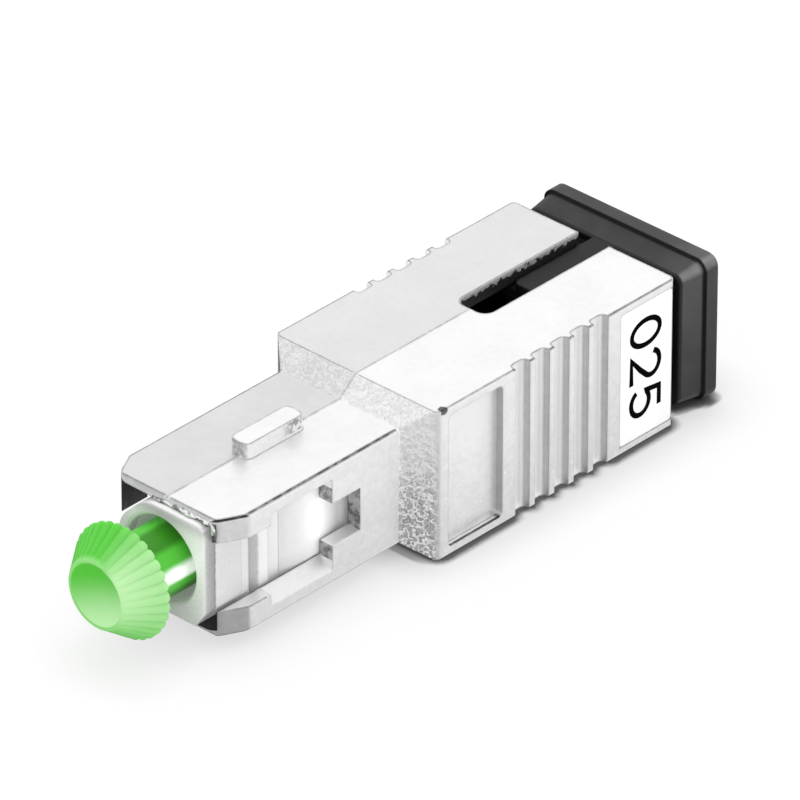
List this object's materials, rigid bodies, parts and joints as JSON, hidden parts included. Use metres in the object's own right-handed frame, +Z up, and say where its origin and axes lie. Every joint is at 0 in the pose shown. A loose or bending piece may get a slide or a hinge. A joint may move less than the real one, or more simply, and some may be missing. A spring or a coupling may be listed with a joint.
{
  "type": "fibre attenuator",
  "caption": "Plug-in fibre optic attenuator with a square keyed push-pull plug, a metal body with grip grooves, a matching port, a green dust cap and a black dust plug.",
  "frame": {"origin": "under the middle of the metal body behind its shoulder, on the body's lower face", "axes": "+Y along the optical axis towards the rear port, +Z up to the side with the key and the slot, +X to the labelled side"},
  "size_m": [0.0122, 0.0433, 0.0095],
  "materials": {
    "housing": "satin nickel over a die casting",
    "label": "matt white",
    "plug_frame": "satin, pale grey white",
    "latch_body": "satin, pale",
    "fittings": "turned, satin",
    "ceramic": "ground",
    "fibre": "polished",
    "dust_cap": "soft, slightly clear green",
    "dust_plug": "matt black"
  },
  "bodies": {
    "housing": {"housing_left": "housing", "housing_right": "housing", "label": "label"},
    "core": {"plug_frame": "plug_frame", "latch_body": "latch_body", "sleeve_tube": "latch_body", "spring_seat": "fittings", "split_sleeve": "ceramic", "spring": "fittings"},
    "ferrule_set": {"ferrule": "ceramic", "ferrule_flange": "fittings", "attenuating_fibre": "fibre"},
    "cap": {"dust_cap": "dust_cap"},
    "rear_plug": {"dust_plug": "dust_plug"}
  },
  "joints": [
    {"name": "core_slide", "type": "slide", "parent": "housing", "child": "core", "axis": [0, -1, 0], "range_m": [0, 0.0015]},
    {"name": "ferrule_float", "type": "slide", "parent": "core", "child": "ferrule_set", "axis": [0, 1, 0], "range_m": [0, 0.001], "stiffness_N_per_m": 1000, "springref_m": -0.005, "deforming": ["spring"]},
    {"name": "cap_pull", "type": "slide", "parent": "ferrule_set", "child": "cap", "axis": [0, -1, 0], "range_m": [0, 0.03]},
    {"name": "plug_pull", "type": "slide", "parent": "housing", "child": "rear_plug", "axis": [0, 1, 0], "range_m": [0, 0.03]}
  ]
}
